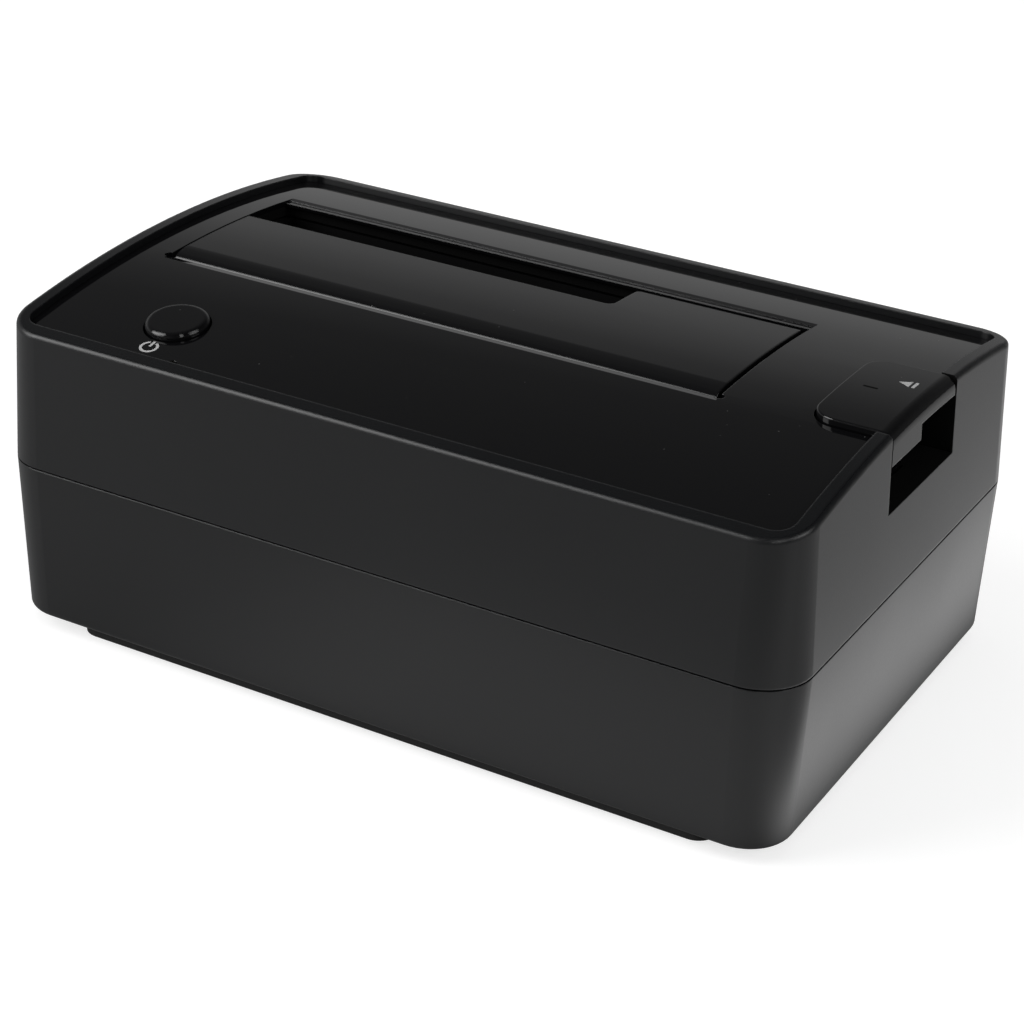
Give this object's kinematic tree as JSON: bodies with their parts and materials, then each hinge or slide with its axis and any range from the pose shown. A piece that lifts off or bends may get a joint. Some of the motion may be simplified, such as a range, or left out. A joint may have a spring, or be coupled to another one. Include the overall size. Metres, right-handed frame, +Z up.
{
  "type": "hard drive docking station",
  "caption": "Upright hard drive docking station with a crowned gloss top, hinged flap over the drive slot, power button and side eject tab.",
  "frame": {"origin": "under the middle of the casing, on the surface that the feet stand on", "axes": "+X along the drive slot to the eject tab's side, +Y to the ports at the back, +Z up"},
  "size_m": [0.1434, 0.0914, 0.0589],
  "materials": {
    "casing_plastic": "satin black, finely textured",
    "panel_gloss": "polished black",
    "button_gloss": "polished black",
    "liner_plastic": "plain moulded black",
    "mechanism_plastic": "natural acetal",
    "connector_plastic": "black nylon",
    "chip_plastic": "moulded epoxy",
    "circuit_board": "green lacquer",
    "led_lens": "clear lens",
    "clear_plastic": "smoked clear rod",
    "port_metal": "plated shell",
    "steel": "plain steel",
    "spring_steel": "drawn wire",
    "screw_steel": "zinc plated",
    "base_plastic": "dull black",
    "foot_rubber": "soft black"
  },
  "bodies": {
    "casing": {"lower_casing": "casing_plastic", "upper_casing": "casing_plastic", "top_panel": "panel_gloss", "bay_liner": "liner_plastic", "flap_hinge_pin": "steel", "button_spring": "spring_steel", "button_board": "circuit_board", "tact_switch": "connector_plastic", "status_led": "led_lens", "light_pipe": "clear_plastic", "eject_spring": "spring_steel", "rocker_pin": "steel", "main_board": "circuit_board", "bridge_chip": "chip_plastic", "drive_connector": "connector_plastic", "host_port": "port_metal", "power_jack": "connector_plastic", "ballast_plate": "steel", "base_plate": "base_plastic", "rubber_feet": "foot_rubber", "casing_screws": "screw_steel", "board_screws": "screw_steel", "liner_screws": "screw_steel", "button_board_screws": "screw_steel"},
    "flap": {"slot_flap": "panel_gloss", "flap_spring": "spring_steel"},
    "power_key": {"power_button": "button_gloss"},
    "eject_key": {"eject_button": "button_gloss"},
    "rocker": {"eject_rocker": "mechanism_plastic"}
  },
  "joints": [
    {"name": "flap_hinge", "type": "hinge", "parent": "casing", "child": "flap", "pos_m": [0, -0.0077, 0.05498], "axis": [-1, 0, 0], "range_deg": [0, 88], "stiffness_Nm_per_rad": 0.004, "springref_deg": -57.3},
    {"name": "power_press", "type": "slide", "parent": "casing", "child": "power_key", "axis": [0, 0, -1], "range_m": [0, 0.0009], "stiffness_N_per_m": 300, "springref_m": -0.002, "deforming": ["button_spring"]},
    {"name": "eject_press", "type": "slide", "parent": "casing", "child": "eject_key", "axis": [0, 0, -1], "range_m": [0, 0.007], "stiffness_N_per_m": 150, "springref_m": -0.006, "deforming": ["eject_spring"]},
    {"name": "rocker_hinge", "type": "hinge", "parent": "casing", "child": "rocker", "pos_m": [0.05044, 0.002, 0.012], "axis": [0, 1, 0], "range_deg": [0, 31.6]}
  ],
  "couplings": [
    {"joint": "rocker_hinge", "follows": "eject_press", "rad_per_m": 77.884}
  ]
}
